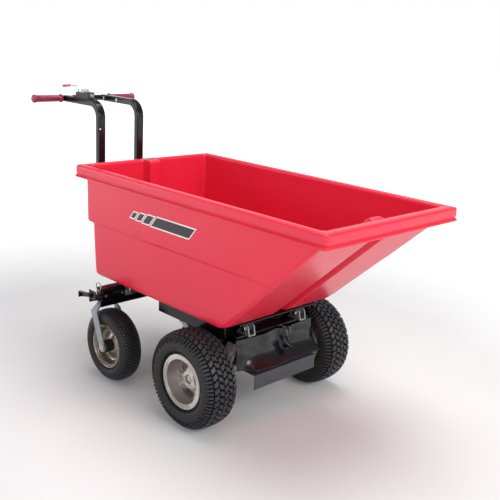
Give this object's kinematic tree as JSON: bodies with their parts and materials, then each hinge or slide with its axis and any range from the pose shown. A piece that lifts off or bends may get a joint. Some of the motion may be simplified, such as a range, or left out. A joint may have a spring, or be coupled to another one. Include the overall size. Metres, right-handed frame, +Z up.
{
  "type": "power wheelbarrow",
  "caption": "Powered wheelbarrow with a tilting moulded hopper on a driven front axle, swivel casters behind and a raised handlebar with a speed lever.",
  "frame": {"origin": "on the floor, under the middle of the whole machine's box", "axes": "+X forward, the way the hopper tips; +Y to the machine's left; +Z up"},
  "size_m": [1.6335, 0.6992, 1.0237],
  "materials": {
    "hopper_red": "gloss moulded polyethylene",
    "frame_black": "gloss black powder coat",
    "zinc": "zinc plated steel",
    "bolt_steel": "plated fasteners",
    "cast_alloy": "cast aluminium",
    "caster_steel": "silver painted pressed steel",
    "tyre_rubber": "moulded tread rubber",
    "grip_red": "dark red vinyl",
    "lever_red": "red dipped vinyl",
    "cover_black": "glossy black vinyl sheet",
    "plate_grey": "satin grey paint",
    "black_plastic": "moulded black plastic",
    "black_rubber": "black rubber",
    "box_grey": "grey housing",
    "brass_bolt": "yellow plated bolts"
  },
  "bodies": {
    "chassis": {"axle_braces": "zinc", "batteries": "black_plastic", "battery_tray": "frame_black", "chassis_crossmembers": "frame_black", "control_box": "box_grey", "drive_motor": "black_plastic", "handle_bolts": "bolt_steel", "handlebar": "frame_black", "hinge_brackets": "zinc", "hinge_pins": "bolt_steel", "latch_bolts": "brass_bolt", "latch_housing": "frame_black", "left_caster_kingpin": "bolt_steel", "left_chassis_rail": "frame_black", "left_grip": "grip_red", "left_handle_tube": "frame_black", "motor_controller": "cast_alloy", "motor_cover": "cover_black", "pedal_bracket": "frame_black", "rear_crossbeam": "frame_black", "rest_bumpers": "black_rubber", "right_caster_kingpin": "bolt_steel", "right_chassis_rail": "frame_black", "right_grip": "grip_red", "right_handle_tube": "frame_black", "skid_plate": "plate_grey", "throttle_housing": "zinc", "transaxle_housing": "cast_alloy"},
    "hopper": {"hopper_tub": "hopper_red", "right_tilt_rail": "frame_black", "left_tilt_rail": "frame_black", "hopper_bolts": "bolt_steel", "tilt_plate": "frame_black", "latch_striker": "zinc"},
    "right_drive_wheel": {"right_drive_tyre": "tyre_rubber", "right_drive_rim_outer": "cast_alloy", "right_drive_rim_inner": "cast_alloy", "right_rim_bolts": "bolt_steel", "right_axle_shaft": "bolt_steel"},
    "right_caster_swivel": {"right_caster_fork": "zinc", "right_caster_axle": "bolt_steel"},
    "right_caster_wheel": {"right_caster_hub": "black_plastic", "right_caster_rim": "caster_steel", "right_caster_tyre": "tyre_rubber"},
    "left_drive_wheel": {"left_drive_tyre": "tyre_rubber", "left_drive_rim_outer": "cast_alloy", "left_drive_rim_inner": "cast_alloy", "left_rim_bolts": "bolt_steel", "left_axle_shaft": "bolt_steel"},
    "left_caster_swivel": {"left_caster_fork": "zinc", "left_caster_axle": "bolt_steel"},
    "left_caster_wheel": {"left_caster_hub": "black_plastic", "left_caster_rim": "caster_steel", "left_caster_tyre": "tyre_rubber"},
    "control_lever": {"speed_lever": "bolt_steel", "lever_tip": "lever_red"},
    "key": {"key_switch": "bolt_steel"},
    "latch": {"latch_pin": "bolt_steel", "pull_ring": "bolt_steel"},
    "pedal": {"dump_pedal": "frame_black"}
  },
  "joints": [
    {"name": "hopper_tilt", "type": "hinge", "parent": "chassis", "child": "hopper", "pos_m": [0.357, 0, 0.328], "axis": [0, 1, 0], "range_deg": [0, 65]},
    {"name": "right_drive_spin", "type": "hinge", "parent": "chassis", "child": "right_drive_wheel", "pos_m": [0.277, -0.2837, 0.165], "axis": [0, 1, 0], "continuous": true},
    {"name": "right_caster_turn", "type": "hinge", "parent": "chassis", "child": "right_caster_swivel", "pos_m": [-0.223, -0.285, 0.29], "axis": [0, 0, 1], "continuous": true},
    {"name": "right_caster_spin", "type": "hinge", "parent": "right_caster_swivel", "child": "right_caster_wheel", "pos_m": [-0.172, -0.285, 0.1345], "axis": [0, 1, 0], "continuous": true},
    {"name": "left_drive_spin", "type": "hinge", "parent": "chassis", "child": "left_drive_wheel", "pos_m": [0.277, 0.2837, 0.165], "axis": [0, 1, 0], "continuous": true},
    {"name": "left_caster_turn", "type": "hinge", "parent": "chassis", "child": "left_caster_swivel", "pos_m": [-0.223, 0.285, 0.29], "axis": [0, 0, 1], "continuous": true},
    {"name": "left_caster_spin", "type": "hinge", "parent": "left_caster_swivel", "child": "left_caster_wheel", "pos_m": [-0.172, 0.285, 0.1345], "axis": [0, 1, 0], "continuous": true},
    {"name": "speed_lever_turn", "type": "hinge", "parent": "chassis", "child": "control_lever", "pos_m": [-0.706, -0.092, 0.9875], "axis": [0, 0, 1], "range_deg": [-35, 35], "stiffness_Nm_per_rad": 0.4},
    {"name": "key_turn", "type": "hinge", "parent": "chassis", "child": "key", "pos_m": [-0.613, -0.092, 0.9925], "axis": [1, 0, 0], "range_deg": [0, 90]},
    {"name": "dump_pedal_press", "type": "hinge", "parent": "chassis", "child": "pedal", "pos_m": [-0.233, -0.346, 0.318], "axis": [0, -1, 0], "range_deg": [0, 15], "stiffness_Nm_per_rad": 5},
    {"name": "latch_pin_pull", "type": "slide", "parent": "chassis", "child": "latch", "axis": [0, -1, 0], "range_m": [0, 0.012]}
  ],
  "couplings": [
    {"joint": "latch_pin_pull", "follows": "dump_pedal_press", "m_per_rad": 0.04583}
  ]
}
